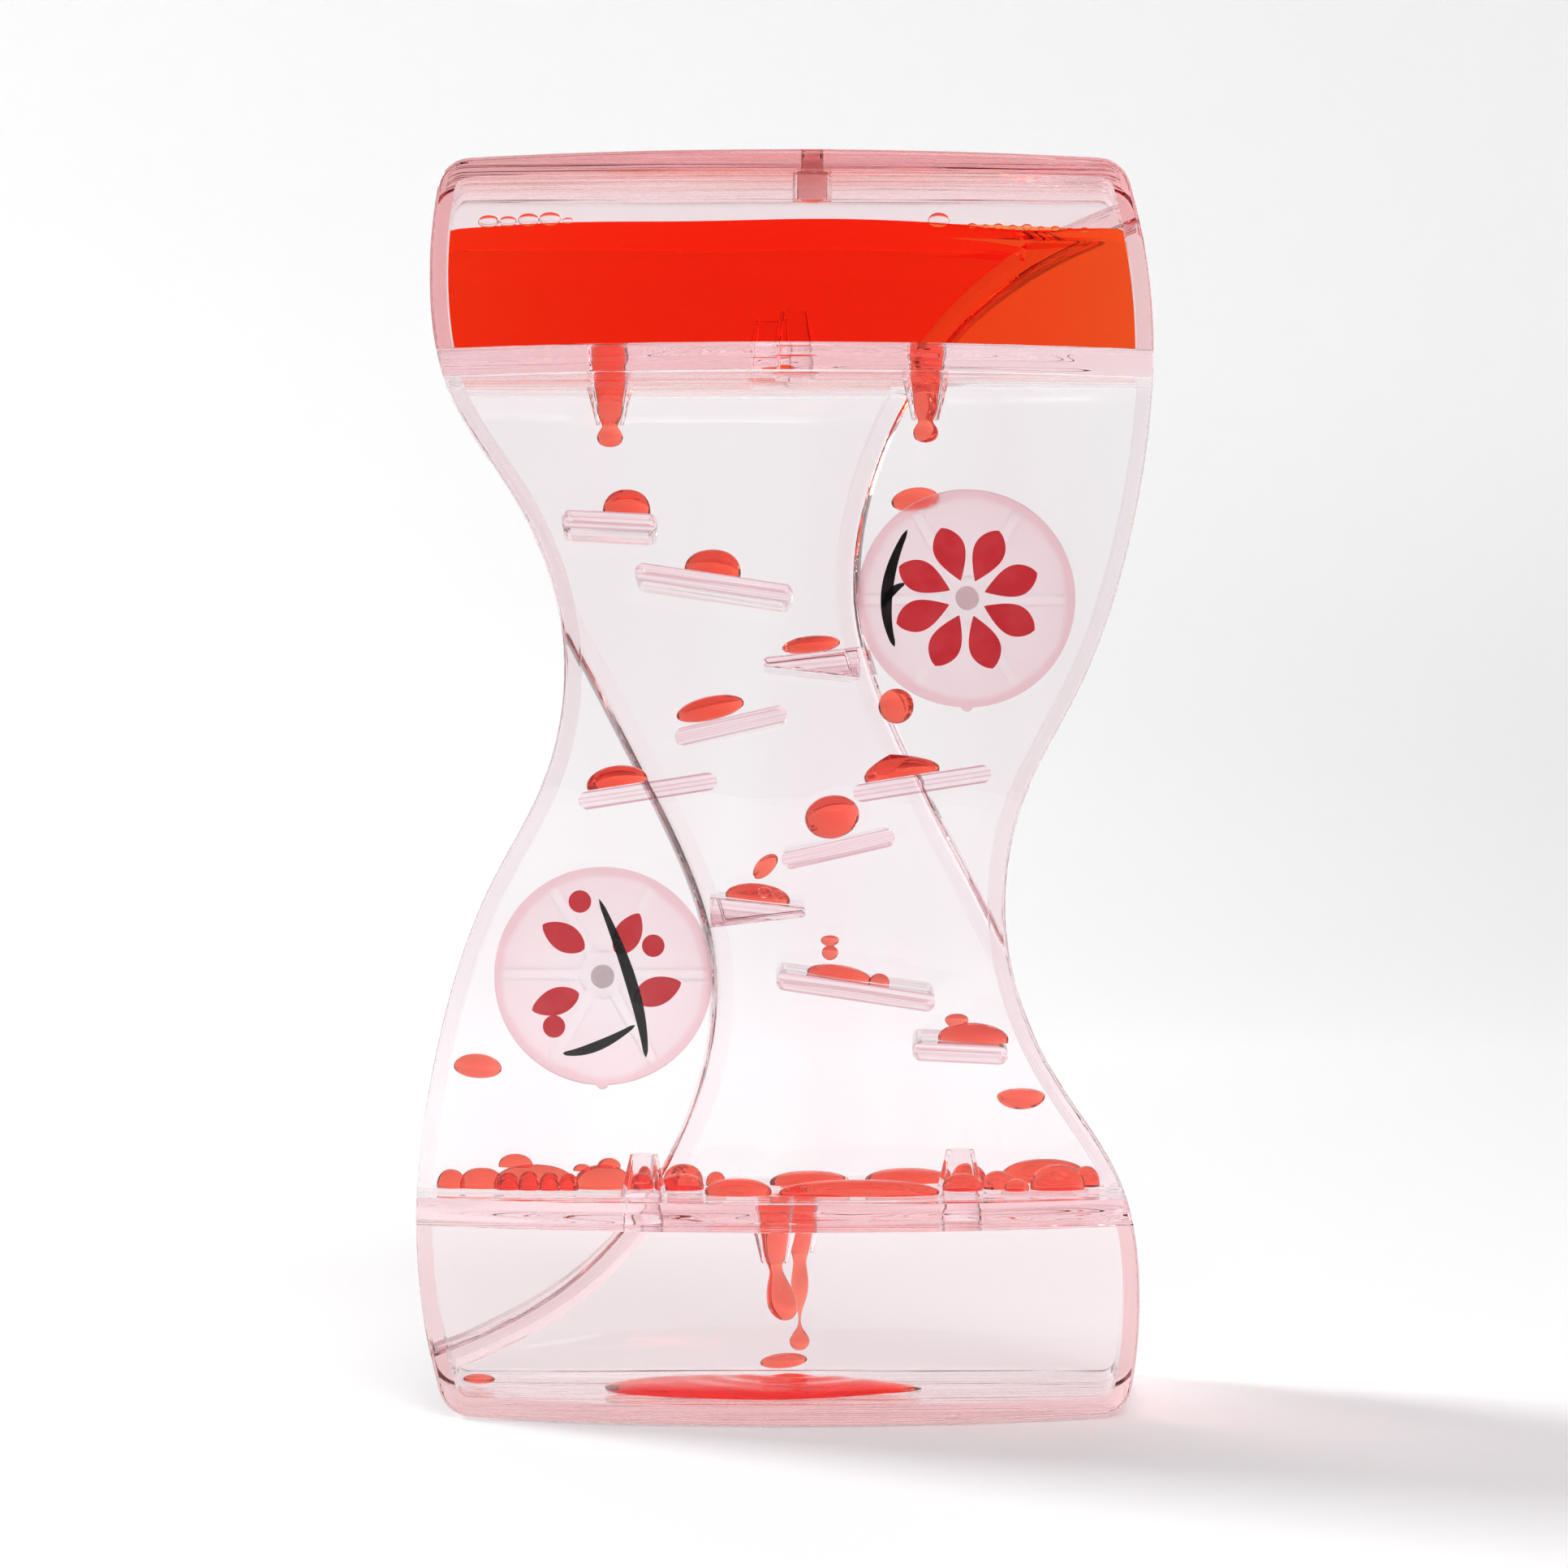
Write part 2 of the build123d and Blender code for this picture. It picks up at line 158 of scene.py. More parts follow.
def clear_material(name, tint, dye, density, index, shade, grain, depth, flow=0.0, roughness=0.0,
                   clearness=1.0, wet=0.0, reach=-1.0, cloud=None):
    """A see-through Principled surface with a moulding ripple and flow lines, and a dye inside it that
    colours light by the length of its way. Lamps shine through in the shade colour: shadow rays meet a
    Transparent shader. A hull piece has a wet index too, and a cloud is a second tint where noise is high."""
    material, tree, surface = new_material(name)
    waves = add(tree, "Group", {"Grain": grain, "Depth": depth, "Flat": flow}, node_tree=ripple)
    wire(tree, surface, {"Base Color": (*tint, 1), "Transmission Weight": clearness, "Roughness": roughness,
                         "IOR": index, "Normal": waves.outputs["Normal"]})
    if wet:
        wire(tree, surface, {"IOR": wetted(tree, index, wet, reach)})
    if cloud:
        stops = [(cloud_low, tint), (cloud_high, cloud)]
        wire(tree, surface, {"Base Color": colour_ramp(tree, waves.outputs["Swell"], stops)})
    rays = add(tree, "LightPath", {})
    through = add(tree, "BsdfTransparent", {"Color": (*shade, 1)})
    either = add(tree, "MixShader", {"Fac": rays.outputs["Is Shadow Ray"], 1: surface.outputs["BSDF"],
                                     2: through.outputs["BSDF"]})
    inside = add(tree, "VolumeAbsorption", {"Color": (*dye, 1), "Density": density})
    wire(tree, tree.nodes["Material Output"], {"Surface": either.outputs["Shader"],
                                               "Volume": inside.outputs["Volume"]})
    return material


def dress(names, material):
    """Give CAD nodes a material."""
    for name in names:
        nodes[name].data.materials.clear()
        nodes[name].data.materials.append(material)


dress(["middle_front", "middle_back"],
      clear_material("cover_styrene", cover_tint, cover_dye, density=12.0, index=styrene_index,
                     shade=hull_shade, grain=(75, 75, 12), depth=0.0003, flow=0.0005, wet=wet_index,
                     cloud=cover_cloud))

# Divider plates between the chambers, moulded in one with their drip nozzles from the same styrene. Long
# flow lines run across them, and they take a stronger pink from the liquid that lies against them.
dress(["upper_plate", "lower_plate"],
      clear_material("plate_styrene", tint=(0.985, 0.93, 0.94), dye=(0.95, 0.45, 0.5), density=26.0,
                     index=styrene_index, shade=(0.96, 0.95, 0.955), grain=(20, 60, 420), depth=0.0008,
                     flow=0.0008, wet=wet_index, reach=0.009))

# Ramps: ten clear bars and wedges that reach forward from the back shell. Small solid mouldings, their edges
# softened in the mould, so they show as pink-edged rods; their colour also carries painted highlights and
# painted shade lines along each bar. Each has the middle of its top, x and z in millimetres, and its slope in
# degrees.
mm_per_m = 1000
ramp_tops = [(-19.3, 100.54, -3), (-7.8, 93.69, -8.6), (-2.3, 84.36, 6.5), (-5.9, 77.89, 13),
             (-15.1, 70.59, 9), (15.1, 71.43, 9), (5.9, 64.17, 13), (2.3, 56.64, -6.5), (7.8, 48.33, -8.6),
             (19.3, 41.46, -3)]
half_bar = 1.0
thin_ramps = (3, 8)
thin_edge = 0.0006
full_edge = 0.0008
joined_within = 0.00001
# Painted highlights and painted shade: the pale and white stops are painted highlights, the darker pink stops
# painted shade lines.
bar_highlight_and_shade_lines = [(0.0, (0.99, 0.93, 0.945)), (0.16, (0.99, 0.93, 0.945)), (0.26, (0.9, 0.58, 0.65)),
              (0.36, (0.995, 0.95, 0.96)), (0.74, (1.0, 0.985, 0.99)), (0.88, (0.72, 0.4, 0.47)),
              (1.0, (0.8, 0.55, 0.6))]


def bar_material(number, top_x, top_z, slope):
    """A ramp's clear plastic with painted highlight and shade lines: its colour follows the distance from the
    bar's own middle line, as a share of half its thickness, on Object coordinates that a Mapping node centres
    and turns."""
    material = clear_material(f"ramp_styrene_{number}", tint=(0.985, 0.93, 0.94), dye=(1.0, 0.4, 0.46),
                              density=5.0, index=1.25, shade=(0.985, 0.96, 0.965), grain=(30, 90, 120),
                              depth=0.0003)
    tree = material.node_tree
    place = add(tree, "TexCoord", {})
    local = add(tree, "Mapping", {"Vector": place.outputs["Object"],
                                  "Location": (top_x / mm_per_m, 0, (top_z - half_bar) / mm_per_m),
                                  "Rotation": (0, -math.radians(slope), 0),
                                  "Scale": (half_bar / mm_per_m,) * 3}, vector_type="TEXTURE")
    spot = add(tree, "SeparateXYZ", {"Vector": local.outputs["Vector"]})
    lines = colour_ramp(tree, sums(tree, "ABSOLUTE", spot.outputs["Z"]), bar_highlight_and_shade_lines)
    wire(tree, tree.nodes["Principled BSDF"], {"Base Color": lines})
    return material


for number, top in enumerate(ramp_tops, 1):
    dress([f"ramp_{number}"], bar_material(number, *top))
    bar = nodes[f"ramp_{number}"]
    joined = bar.modifiers.new("joined", "WELD")
    joined.merge_threshold = joined_within
    soft_edge = bar.modifiers.new("soft_edge", "BEVEL")
    soft_edge.width = thin_edge if number in thin_ramps else full_edge
    soft_edge.segments = 6
    soft_edge.limit_method = "ANGLE"
    soft_edge.angle_limit = math.radians(35)

# Wheel pins: turned rods of milky plastic with a low head, pressed into bosses of the back shell. Each
# carries a wheel.
dress(["wheel_pin_right", "wheel_pin_left"],
      clear_material("pin_plastic", tint=(1.0, 0.9, 0.93), dye=(1.0, 0.5, 0.55), density=6.0, index=1.3,
                     shade=(0.985, 0.96, 0.965), grain=(300, 300, 300), depth=0.0001, roughness=0.4,
                     clearness=0.05))

# Paddle wheels: discs of frosted polystyrene with six vanes behind them, moulded in one and broken from the
# runner at a small nub. Pale pink, cloudy, and deeper in colour towards the rim. The thin vanes are clearer.
wheel_middles = {"right": (20.05, 91.0), "left": (-20.05, 49.0)}
disc_radius = 12.1
disc_back = -9.1
vane_cover = 0.4
fade_before = 0.1
fade_behind = 0.3
disc_mottle = 0.12
disc_shades = [(0.35, (1.0, 0.915, 0.935)), (0.95, (1.0, 0.835, 0.865)), (1.0, (0.95, 0.66, 0.7))]


def frosted_material(name, middle_x, middle_z):
    """Cloudy pink plastic: its colour goes from pale to pink with the distance from the wheel's axle,
    mottled by a soft noise, and its cover drops behind the disc, on the vanes."""
    material, tree, surface = new_material(name)
    place = add(tree, "TexCoord", {})
    waves = add(tree, "Group", {"Grain": (240, 240, 240), "Depth": 0.0001}, node_tree=ripple)
    centred = add(tree, "Mapping", {"Vector": place.outputs["Object"],
                                    "Location": (-middle_x / disc_radius, 0, -middle_z / disc_radius),
                                    "Scale": (mm_per_m / disc_radius, 0, mm_per_m / disc_radius)})
    reach = add(tree, "VectorMath", {0: centred.outputs["Vector"]}, operation="LENGTH")
    mottle = sums(tree, "MULTIPLY_ADD", waves.outputs["Swell"], disc_mottle, reach.outputs["Value"])
    rough = add(tree, "MapRange", {"Value": waves.outputs["Swell"], "To Min": 0.28, "To Max": 0.48})
    spot = add(tree, "SeparateXYZ", {"Vector": place.outputs["Object"]})
    cover = add(tree, "MapRange", {"Value": spot.outputs["Y"],
                                   "From Min": (disc_back - fade_before) / mm_per_m,
                                   "From Max": (disc_back + fade_behind) / mm_per_m,
                                   "To Min": 1, "To Max": vane_cover})
    wire(tree, surface, {"Base Color": colour_ramp(tree, mottle, disc_shades), "Transmission Weight": 0.94,
                         "IOR": 1.1, "Roughness": rough.outputs["Result"], "Alpha": cover.outputs["Result"],
                         "Normal": waves.outputs["Normal"]})
    return material


for side, (middle_x, middle_z) in wheel_middles.items():
    dress([f"wheel_{side}"], frosted_material(f"frosted_disc_{side}", middle_x, middle_z))

# Print on the discs: pad-printed red and black ink, 0.03 mm thick. A plain blossom with a stalk on the right
# disc and a sprig of leaves and berries on the left one.
ink_face = -10.76
ink_thickness = 0.03


def leaf(x, z, angle, length, width, swell):
    """A flat leaf: u runs along its middle line and v across it, and its half width is
    width / 2 * (0.02 + 0.98 * sin(pi * u ** swell) ** 0.7)."""
    u, v = np.meshgrid(np.linspace(0, 1, 25), np.linspace(-1, 1, 9), indexing="ij")
    across = v * width / 2 * (0.02 + 0.98 * np.sin(math.pi * u ** swell) ** 0.7)
    turn = math.radians(angle)
    return np.stack([x + u * length * math.cos(turn) - across * math.sin(turn), np.full_like(u, ink_face),
                     z + u * length * math.sin(turn) + across * math.cos(turn)], -1)


def stroke(points, width):
    """A brush stroke along the quadratic curve of three points: its half width is
    width / 2 * (0.4 + 0.6 * sin(pi * u)) ** 1.2, rounded off at the ends."""
    u, v = np.meshgrid(np.linspace(0, 1, 41), np.linspace(-1, 1, 7), indexing="ij")
    one, two, three = np.array(points)
    line = (((1 - u) ** 2)[..., None] * one + (2 * u * (1 - u))[..., None] * two
            + (u ** 2)[..., None] * three)
    run = (1 - u)[..., None] * (two - one) + u[..., None] * (three - two)
    run /= np.linalg.norm(run, axis=-1, keepdims=True)
    ends = np.clip(np.sin(math.pi * u) / 0.16, 0.01, 1) ** 0.5
    across = v * width / 2 * (0.4 + 0.6 * np.sin(math.pi * u)) ** 1.2 * ends
    return np.stack([line[..., 0] - across * run[..., 1], np.full_like(u, ink_face),
                     line[..., 1] + across * run[..., 0]], -1)


def berry(x, z, radius):
    """A round spot: a square grid of u and v from -1 to 1, drawn in to a circle by
    u * sqrt(1 - v * v / 2) and v * sqrt(1 - u * u / 2)."""
    u, v = np.meshgrid(np.linspace(-1, 1, 13), np.linspace(-1, 1, 13), indexing="ij")
    return np.stack([x + radius * u * np.sqrt(1 - v * v / 2), np.full_like(u, ink_face),
                     z + radius * v * np.sqrt(1 - u * u / 2)], -1)


def ink_material(name, colour, worn, clearness):
    """Ink that lets a share of the light through, a little thinner in patches: colour and roughness follow
    a soft noise."""
    material, tree, surface = new_material(name)
    waves = add(tree, "Group", {"Grain": (500, 500, 500), "Depth": 0.00005}, node_tree=ripple)
    shades = colour_ramp(tree, waves.outputs["Swell"], [(0.3, colour), (0.75, worn)])
    rough = add(tree, "MapRange", {"Value": waves.outputs["Swell"], "To Min": 0.4, "To Max": 0.6})
    wire(tree, surface, {"Base Color": shades, "Transmission Weight": clearness, "IOR": 1.15,
                         "Roughness": rough.outputs["Result"], "Normal": waves.outputs["Normal"]})
    return material


def from_grids(name, grids, material, around=False):
    """A mesh in metres from grids of points in millimetres: four neighbours in a grid make a face, and where
    grids go around, each one's last column joins its first."""
    corners, cells, start = [], [], 0
    for grid in grids:
        index = start + np.arange(grid[..., 0].size).reshape(grid.shape[:2])
        start += index.size
        if around:
            index = np.concatenate([index, index[:, :1]], 1)
        faces = [index[:-1, :-1], index[1:, :-1], index[1:, 1:], index[:-1, 1:]]
        cells.append(np.stack(faces, -1).reshape(-1, 4))
        corners.append(grid.reshape(-1, 3) / mm_per_m)
    mesh = bpy.data.meshes.new(name)
    mesh.from_pydata(np.concatenate(corners).tolist(), [], np.concatenate(cells).tolist())
    mesh.materials.append(material)
    return mesh


def put(name, data):
    """An object in the scene for a mesh, a lamp or a camera."""
    thing = bpy.data.objects.new(name, data)
    scene.collection.objects.link(thing)
    return thing


def printed(name, marks, material, body):
    """One piece of ink from flat grids of points. Solidify gives it its thickness."""
    piece = put(name, from_grids(name, marks, material))
    ink = piece.modifiers.new("ink", "SOLIDIFY")
    ink.thickness = ink_thickness / mm_per_m
    ink.offset = 0
    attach(piece, body)


red_ink = ink_material("red_ink", colour=(0.92, 0.06, 0.08), worn=(0.96, 0.1, 0.12), clearness=0.5)
black_ink = ink_material("black_ink", colour=(0.012, 0.01, 0.011), worn=(0.03, 0.024, 0.026), clearness=0.0)

x, z = wheel_middles["right"]
petal_foot = 2.1
petal_turns = range(20, 380, 45)
blossom = [leaf(x + petal_foot * math.cos(math.radians(turn)), z + petal_foot * math.sin(math.radians(turn)),
                turn, length=6.2, width=3.5, swell=1.35) for turn in petal_turns]
stalk = [stroke([(x - 8.0, z - 5.4), (x - 10.4, z + 0.4), (x - 6.6, z + 7.6)], width=1.3),
         stroke([(x - 9.3, z - 1.0), (x - 8.6, z + 1.0), (x - 6.9, z + 1.6)], width=0.9)]
printed("print_right_red", blossom, red_ink, "right_wheel")
printed("print_right_black", stalk, black_ink, "right_wheel")

x, z = wheel_middles["left"]
leaf_swell = 0.9
berry_radius = 1.25
sprig = [leaf(x + 3.4, z - 2.6, 20, 5.6, 3.2, leaf_swell), leaf(x + 1.6, z + 2.4, 62, 5.2, 3.0, leaf_swell),
         leaf(x - 2.6, z - 1.9, 200, 5.6, 3.0, leaf_swell), leaf(x - 2.0, z + 3.0, 150, 5.4, 3.1, leaf_swell),
         berry(x + 5.6, z + 3.4, berry_radius), berry(x - 5.4, z - 5.6, berry_radius),
         berry(x - 2.5, z + 8.3, berry_radius)]
stem = [stroke([(x + 4.8, z - 9.0), (x + 4.4, z - 2.0), (x - 0.4, z + 8.6)], width=1.3),
        stroke([(x - 4.4, z - 8.6), (x - 1.0, z - 8.6), (x + 3.6, z - 5.4)], width=1.1)]
printed("print_left_red", sprig, red_ink, "left_wheel")
printed("print_left_black", stem, black_ink, "left_wheel")

# End chambers: deep caps of the same clear styrene, welded to the divider plates. The top one has the
# filling hole. Their thick flat ends look deep pink from the side, as the liquid's red is carried along
# inside them.
cap_grain = (30, 40, 60)
dress(["top_chamber"],
      clear_material("top_cap_styrene", tint=(0.99, 0.97, 0.975), dye=(0.93, 0.4, 0.42), density=46.0,
                     index=styrene_index, shade=hull_shade, grain=cap_grain, depth=0.0003, flow=0.0007,
                     wet=wet_index))
dress(["bottom_chamber"],
      clear_material("bottom_cap_styrene", tint=(0.985, 0.965, 0.97), dye=(0.93, 0.46, 0.48), density=30.0,
                     index=styrene_index, shade=(0.56, 0.545, 0.55), grain=cap_grain, depth=0.0003,
                     flow=0.0002, wet=wet_index))

# Red liquid in the top chamber: an oily dyed liquid, heavier than the clear one above it, lying on the upper
# plate up to the walls, with a slightly wavy top. It is thinner, and more orange, over the shallow wing.
pool_low = 118.95
pool_high = 132.6
pool_brim = 0.4
pool_middle = (0, -2)
wave_height = 0.1
wave_rate = 0.21
wave_start = 0.5
dip_depth = 0.8
dip_x = 27
dip_reach = 7
body_height = 140.0
front_face = -17.0
back_face = 17.0
front_bow = 140.0
back_bow = 300.0
wing_face = 4.6
pool_inset = 2.2
least_wing = 0.05
spline_points = 801
pole_reach = 1e-6
crease_angle = math.radians(40)
right_outline = [(38.0, 0.0), (39.6, 14.0), (37.4, 26.04), (30.4, 37.38), (25.6, 48.02), (24.4, 58.24),
                 (26.6, 69.02), (32.4, 80.22), (38.8, 98.98), (41.2, 118.02), (37.6, 140.0)]
fold_outline = [(33.0, 34.02), (24.0, 51.94), (15.5, 69.02), (7.9, 90.02), (14.4, 116.34), (26.8, 129.64),
                (38.4, 135.38), (48.0, 139.58)]


def smooth_line(points):
    """Many points on the cubic spline through the given ones. Its parameter is the length of the chords, and
    its slope at each end is that of the cubic through the four nearest points."""
    points = np.array(points)
    t = np.concatenate([[0], np.cumsum(np.linalg.norm(np.diff(points, axis=0), axis=1))])
    h = np.diff(t)
    rise = np.diff(points, axis=0) / h[:, None]
    count = len(points)
    system = np.eye(count)
    right = np.zeros((count, 2))
    i = np.arange(1, count - 1)
    system[i, i - 1] = h[1:]
    system[i, i] = 2 * (h[:-1] + h[1:])
    system[i, i + 1] = h[:-1]
    right[1:-1] = 3 * (h[1:, None] * rise[:-1] + h[:-1, None] * rise[1:])
    right[0] = np.polyfit(t[:4] - t[0], points[:4], 3)[2]
    right[-1] = np.polyfit(t[-4:] - t[-1], points[-4:], 3)[2]
    slope = np.linalg.solve(system, right)
    fine = np.linspace(0, t[-1], spline_points)
    k = np.clip(np.searchsorted(t, fine, side="right") - 1, 0, count - 2)
    s = ((fine - t[k]) / h[k])[:, None]
    long = h[k][:, None]
    return ((1 + 2 * s) * (1 - s) ** 2 * points[k] + s * (1 - s) ** 2 * long * slope[k]
            + s * s * (3 - 2 * s) * points[k + 1] - s * s * (1 - s) * long * slope[k + 1])


def inset_line(points, inset):
    """The smooth line through the points, moved inset millimetres to its left."""
    line = smooth_line(points)
    run = np.gradient(line, axis=0)
    run /= np.linalg.norm(run, axis=1, keepdims=True)
    return line + inset * np.stack([-run[:, 1], run[:, 0]], 1)


right_inside = inset_line(right_outline, pool_inset)
fold_inside = inset_line(fold_outline, pool_inset)


def bowed_front(x):
    """How far forward the front's inner face lies at x: a circle of the bow's radius less the wall."""
    return front_face + front_bow - np.sqrt((front_bow - pool_inset) ** 2 - x * x)


def bowed_back(x):
    """How far back the channel's inner face lies at x, as for the front."""
    return back_face - back_bow + np.sqrt((back_bow - pool_inset) ** 2 - x * x)


def pool_ring(height):
    """Points round the inside of the top chamber at one height: along the bowed front, down the right wall,
    along the flat wing to the fold, back to the channel's bowed back, along it, and up the left wall."""
    right = np.interp(height, right_inside[:, 1], right_inside[:, 0])
    left = -np.interp(body_height - height, right_inside[:, 1], right_inside[:, 0])
    fold = min(np.interp(height, fold_inside[:, 1], fold_inside[:, 0]), right - least_wing)
    wing = wing_face - pool_inset
    many = np.linspace(0, 1, 64, endpoint=False)
    few = np.linspace(0, 1, 12, endpoint=False)
    same = np.ones(few.size)
    ahead = left + (right - left) * many
    behind = fold + (left - fold) * many
    right_front, fold_back, left_back = bowed_front(right), bowed_back(fold), bowed_back(left)
    x = np.concatenate([ahead, right * same, right + (fold - right) * few, fold * same, behind, left * same])
    y = np.concatenate([bowed_front(ahead), right_front + (wing - right_front) * few, wing * same,
                        wing + (fold_back - wing) * few, bowed_back(behind),
                        left_back + (bowed_front(left) - left_back) * few])
    return np.stack([x, y, np.full_like(x, height)], 1)


def pool_grid():
    """Rings from the middle of the floor out to the wall, up it, and back in over the top, whose height is
    pool_high plus slow waves, less a dip towards the right and a brim that turns down at the wall."""
    edge = pool_high - pool_brim
    low_middle, edge_middle, high_middle = np.array([(*pool_middle, z) for z in (pool_low, edge, pool_high)])
    floor = pool_ring(pool_low) - low_middle
    top = pool_ring(edge) - edge_middle
    rings = [low_middle + share * floor for share in (0, 0.4, 0.8, 0.97)]
    rings += [pool_ring(height) for height in np.linspace(pool_low, edge, 15)]
    for share in (0.995, 0.985, 0.97, 0.94, 0.88, 0.78, 0.65, 0.5, 0.35, 0.2, 0.1, 0):
        ring = high_middle + share * top
        waves = wave_height * np.sin(wave_rate * ring[:, 0] + wave_start)
        dip = dip_depth * np.exp(-((ring[:, 0] - dip_x) / dip_reach) ** 2) * share ** 3
        ring[:, 2] = pool_high - pool_brim * share ** 40 + waves - dip
        rings.append(ring)
    return np.stack(rings)


def skin(name, grids, material, *replaced, slot="red_liquid"):
    """One piece of liquid from grids, each a stack of rings from one pole to the other. The points of a pole
    are merged, and the faces turned outwards."""
    mesh = from_grids(name, grids, material, around=True)
    shape = bmesh.new()
    shape.from_mesh(mesh)
    bmesh.ops.remove_doubles(shape, verts=shape.verts, dist=pole_reach)
    bmesh.ops.recalc_face_normals(shape, faces=shape.faces)
    shape.to_mesh(mesh)
    shape.free()
    mesh.shade_smooth()
    mesh.set_sharp_from_angle(angle=crease_angle)
    piece = put(name, mesh)
    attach(piece, "housing")
    if replaced:
        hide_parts(*replaced)


deep_red = clear_material("deep_red_liquid", tint=(1.0, 0.38, 0.12), dye=(1.0, 0.42, 0.12), density=190.0,
                          index=1.02, shade=(1.0, 0.55, 0.5), grain=(30, 30, 30), depth=0.0004)
skin("pool", [pool_grid()], deep_red, "red_pool")

# Red liquid in the nozzles: each column runs down through a plate and its nozzle's tapered bore, and a drop
# swells from the tip. The two lower ones stretch into a blob and a thread that lets its drop go.
thin_shade = (1.0, 0.6, 0.56)
thin_grain = (90, 90, 90)
drop_red = clear_material("drop_red_liquid", tint=(1.0, 0.28, 0.2), dye=(1.0, 0.3, 0.22), density=240.0,
                          index=1.16, shade=thin_shade, grain=thin_grain, depth=0.0002)
hanging = [(118.8, 2.08), (116.4, 1.82), (113.7, 1.4), (111.6, 1.05), (111.05, 0.85), (110.6, 1.1),
           (109.9, 1.42), (109.1, 1.2), (108.72, 0.5), (108.66, 0.02)]
blob = [(24.15, 2.08), (21.8, 1.82), (19.1, 1.4), (17, 1.05), (15.9, 0.75), (14.6, 1.05), (12.6, 1.6),
        (11.2, 1.5), (10.3, 0.8), (10.1, 0.02)]
thread = [(24.15, 2.08), (21.8, 1.82), (19.1, 1.4), (17, 1.05), (15.6, 0.75), (13.5, 0.95), (11.6, 0.8),
          (10, 0.3), (8.2, 0.22), (7.6, 0.5), (6.5, 1.1), (5.6, 0.75), (5.35, 0.02)]
lower_tip = 16.5


def column(x, y, profile, drift=0.0):
    """A profile of (height, radius) points, smoothed by the spline, turned about an upright line at x, y and
    closed to a pole at each end. Below the lower nozzles' tips the line leans by the drift."""
    line = np.abs(smooth_line(profile))[::5]
    height, radius = line[:, :1], line[:, 1:]
    turn = np.linspace(0, 2 * math.pi, 32, endpoint=False)
    centre = x + drift * np.maximum(0, lower_tip - height)
    rings = np.stack([centre + radius * np.cos(turn), y + radius * np.sin(turn),
                      np.repeat(height, turn.size, 1)], -1)
    high, low = rings[:1].mean(1, keepdims=True), rings[-1:].mean(1, keepdims=True)
    return np.concatenate([np.repeat(high, turn.size, 1), rings, np.repeat(low, turn.size, 1)])


skin("drip_left_red", [column(-19.3, 0, hanging)], drop_red, "drip_left")
skin("drip_right_red", [column(15.5, -6, hanging)], drop_red, "drip_right")
skin("drip_front_red", [column(-1.1, -5, blob, drift=0.18)], drop_red, "drip_front")
skin("drip_back_red", [column(1.65, 5, thread)], drop_red, "drip_back")

# Red drops on the ramps: each sits on its ramp as a flattened bead and slides down the slope, longer behind
# than in front, some with smaller beads that join them.
drop_line = -6.0
contact_angle = 100
bead_lift = 0.08


def bead(x, y, foot, left, right, half_depth, height, slope=0.0, fullness=1.0):
    """A bead on a slope: its rings go from the top, angle 0, to the contact angle, and in to the middle of
    the foot. A ring's radius is sin(angle) ** fullness, its height the share of cos(angle) left above the
    foot, and its length differs to the left and right of the peak."""
    angle = np.radians(np.concatenate([np.linspace(0, contact_angle, 19), [contact_angle] * 2]))[:, None]
    shrink = np.concatenate([np.ones(19), [0.6, 0]])[:, None]
    round_about = np.linspace(0, 2 * math.pi, 40, endpoint=False)[None]
    radius = np.sin(angle) ** fullness * shrink
    along = radius * np.cos(round_about)
    along = np.where(along > 0, along * right, along * left)
    deep = radius * np.sin(round_about) * half_depth
    least = math.cos(math.radians(contact_angle))
    tall = (np.cos(angle) - least) / (1 - least) * height + 0 * round_about
    turn = math.radians(slope)
    return np.stack([x + along * math.cos(turn) - tall * math.sin(turn), y + deep,
                     foot + bead_lift + along * math.sin(turn) + tall * math.cos(turn)], -1)


def on_ramp(number, x, left, right, half_depth, height, fullness=1.0):
    """A bead whose peak is at x on the ramp of that number."""
    middle_x, middle_z, slope = ramp_tops[number - 1]
    foot = middle_z + (x - middle_x) * math.tan(math.radians(slope))
    return bead(x, drop_line, foot, left, right, half_depth, height, slope, fullness)


def loose(x, y, z, half_width, half_depth, up, down, lean=0.0):
    """A drop with its own height above and below its widest ring, leaning to one side by lean degrees."""
    angle = np.linspace(0, math.pi, 25)[:, None]
    round_about = np.linspace(0, 2 * math.pi, 32, endpoint=False)[None]
    along = half_width * np.sin(angle) * np.cos(round_about)
    deep = half_depth * np.sin(angle) * np.sin(round_about)
    tall = np.where(np.cos(angle) > 0, up, down) * np.cos(angle) + 0 * round_about
    turn = math.radians(lean)
    return np.stack([x + along * math.cos(turn) - tall * math.sin(turn), y + deep,
                     z + along * math.sin(turn) + tall * math.cos(turn)], -1)


